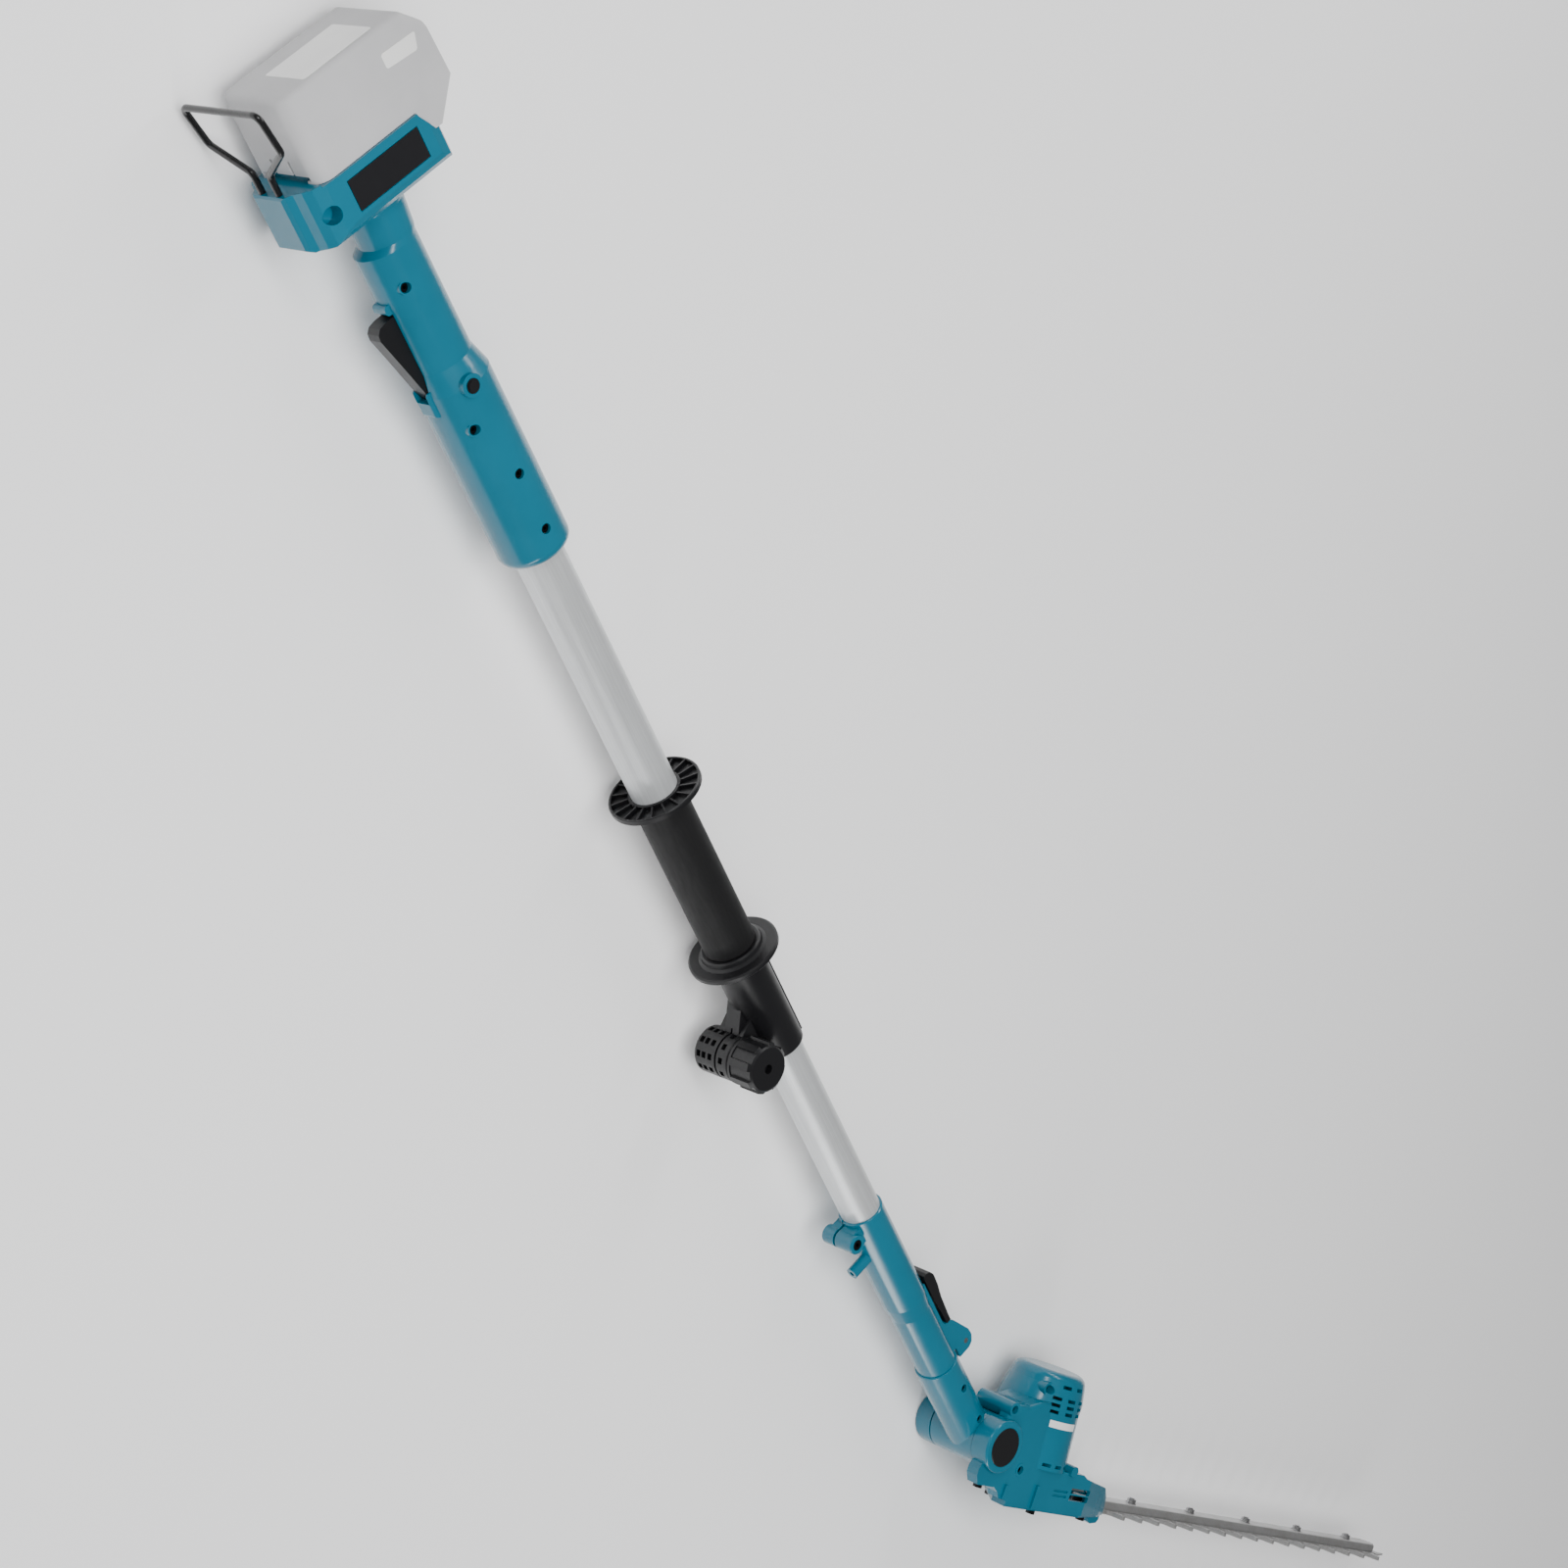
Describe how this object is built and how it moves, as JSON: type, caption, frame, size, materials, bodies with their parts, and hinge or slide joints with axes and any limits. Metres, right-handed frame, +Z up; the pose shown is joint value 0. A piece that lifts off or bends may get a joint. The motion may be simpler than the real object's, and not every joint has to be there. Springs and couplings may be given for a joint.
{
  "type": "cordless pole hedge trimmer",
  "caption": "Long telescopic pole with a battery and trigger handle at one end and a tilting motor head with a double-edged reciprocating hedge blade at the other.",
  "frame": {"origin": "centre of the bounding box at its lowest level, with the tool lying on its side", "axes": "+X along the pole from the battery to the blade, +Y away from the trigger, +Z up towards the lock-off button side"},
  "size_m": [2.0479, 0.4572, 0.0947],
  "materials": {
    "teal_plastic": "glossy moulded nylon",
    "teal_metal": "glossy paint over a casting",
    "black_plastic": "satin black nylon",
    "grip_rubber": "matte elastomer",
    "black_steel": "gloss black coating",
    "plate": "printed foil, no lettering",
    "pack_plastic": "pale grey satin plastic",
    "cell_sleeve": "shrink sleeve",
    "pipe_alloy": "anodised",
    "blade_steel": "ground and oiled",
    "plain_steel": "machined",
    "dark_screws": "black oxide",
    "magnet": "sintered ferrite",
    "fan_plastic": "moulded",
    "contact_brass": "plated"
  },
  "bodies": {
    "handle": {"handle_shell_near": "teal_plastic", "handle_shell_far": "teal_plastic", "handle_screws": "dark_screws", "rating_plate": "plate", "terminal_block": "black_plastic", "terminal_blades": "contact_brass", "main_switch": "black_plastic", "trigger_pin": "plain_steel", "trigger_spring": "plain_steel", "lock_off_spring": "plain_steel", "hanging_hook": "black_steel", "outer_pipe": "pipe_alloy", "slide_bush": "black_plastic", "grip_flange": "black_plastic", "grip_cover": "grip_rubber", "clamp_sleeve": "black_plastic", "clamp_bolt": "plain_steel"},
    "trigger": {"trigger": "black_plastic"},
    "lock_off": {"lock_off_button": "black_plastic"},
    "battery": {"battery_case": "pack_plastic", "battery_cover": "pack_plastic", "battery_cells": "cell_sleeve"},
    "battery_button": {"battery_button": "black_plastic"},
    "knob": {"clamp_knob": "black_plastic"},
    "extension": {"inner_pipe": "pipe_alloy", "pipe_end_bush": "black_plastic", "coiled_lead": "black_plastic", "pipe_holder": "teal_metal", "holder_bolt": "dark_screws", "holder_nut": "plain_steel", "lever_pin": "plain_steel", "lever_spring": "plain_steel", "tilt_arm": "teal_metal", "arm_screws": "dark_screws", "detent_ring": "plain_steel"},
    "lever": {"tilt_lever": "black_plastic"},
    "head": {"head_shell_near": "teal_plastic", "head_shell_far": "teal_plastic", "head_screws": "dark_screws", "pivot_plug": "black_plastic", "pivot_end_cap": "teal_plastic", "pivot_shaft": "plain_steel", "gear_cover": "teal_plastic", "cover_bolts": "dark_screws", "motor_can": "plain_steel", "motor_magnets": "magnet", "motor_bearings": "plain_steel", "motor_plate": "plain_steel", "crank_bearing": "plain_steel", "bearing_plate": "plain_steel", "guide_bar": "blade_steel", "guide_bolts": "plain_steel", "guide_nuts": "plain_steel"},
    "rotor": {"motor_rotor": "plain_steel", "motor_fan": "fan_plastic", "motor_pinion": "plain_steel"},
    "crank": {"crank_gear": "plain_steel", "crank_shaft": "plain_steel"},
    "upper_blade": {"upper_blade": "blade_steel"},
    "lower_blade": {"lower_blade": "blade_steel"}
  },
  "joints": [
    {"name": "pole_telescope", "type": "slide", "parent": "handle", "child": "extension", "axis": [1, 0, 0], "range_m": [-0.185, 0.3]},
    {"name": "clamp_turn", "type": "hinge", "parent": "handle", "child": "knob", "pos_m": [-0.12345, -0.19856, 0.07401], "axis": [0, 0, 1], "range_deg": [0, 270]},
    {"name": "head_tilt", "type": "hinge", "parent": "extension", "child": "head", "pos_m": [0.39655, -0.15456, 0.05001], "axis": [0, 0, 1], "range_deg": [-75, 10]},
    {"name": "tilt_lever_pull", "type": "hinge", "parent": "extension", "child": "lever", "pos_m": [0.29955, -0.12406, 0.05001], "axis": [0, 0, 1], "range_deg": [-15, 0], "stiffness_Nm_per_rad": 0.8, "deforming": ["lever_spring"]},
    {"name": "trigger_pull", "type": "hinge", "parent": "handle", "child": "trigger", "pos_m": [-0.76545, -0.17806, 0.05001], "axis": [0, 0, 1], "range_deg": [-9, 0], "stiffness_Nm_per_rad": 0.8, "deforming": ["trigger_spring"]},
    {"name": "lock_off_press", "type": "slide", "parent": "handle", "child": "lock_off", "axis": [0, 0, 1], "range_m": [-0.004, 0], "stiffness_N_per_m": 300, "springref_m": 0.002, "deforming": ["lock_off_spring"]},
    {"name": "battery_slide", "type": "slide", "parent": "handle", "child": "battery", "axis": [0, 1, 0], "range_m": [0, 0.12]},
    {"name": "battery_button_press", "type": "slide", "parent": "battery", "child": "battery_button", "axis": [-1, 0, 0], "range_m": [0, 0.004], "stiffness_N_per_m": 500, "springref_m": -0.002},
    {"name": "rotor_spin", "type": "hinge", "parent": "head", "child": "rotor", "pos_m": [0.46592, -0.10544, 0.05001], "axis": [-0.5779, 0.8161, 0], "continuous": true},
    {"name": "crank_spin", "type": "hinge", "parent": "head", "child": "crank", "pos_m": [0.49285, -0.08637, 0.05001], "axis": [-0.5779, 0.8161, 0], "continuous": true},
    {"name": "upper_blade_stroke", "type": "slide", "parent": "head", "child": "upper_blade", "axis": [0.8161, 0.5779, 0], "range_m": [-0.0071, 0.0071]},
    {"name": "lower_blade_stroke", "type": "slide", "parent": "head", "child": "lower_blade", "axis": [0.8161, 0.5779, 0], "range_m": [-0.0071, 0.0071]}
  ],
  "couplings": [
    {"joint": "crank_spin", "follows": "rotor_spin", "ratio": -0.17857},
    {"joint": "lower_blade_stroke", "follows": "upper_blade_stroke", "ratio": -1}
  ]
}
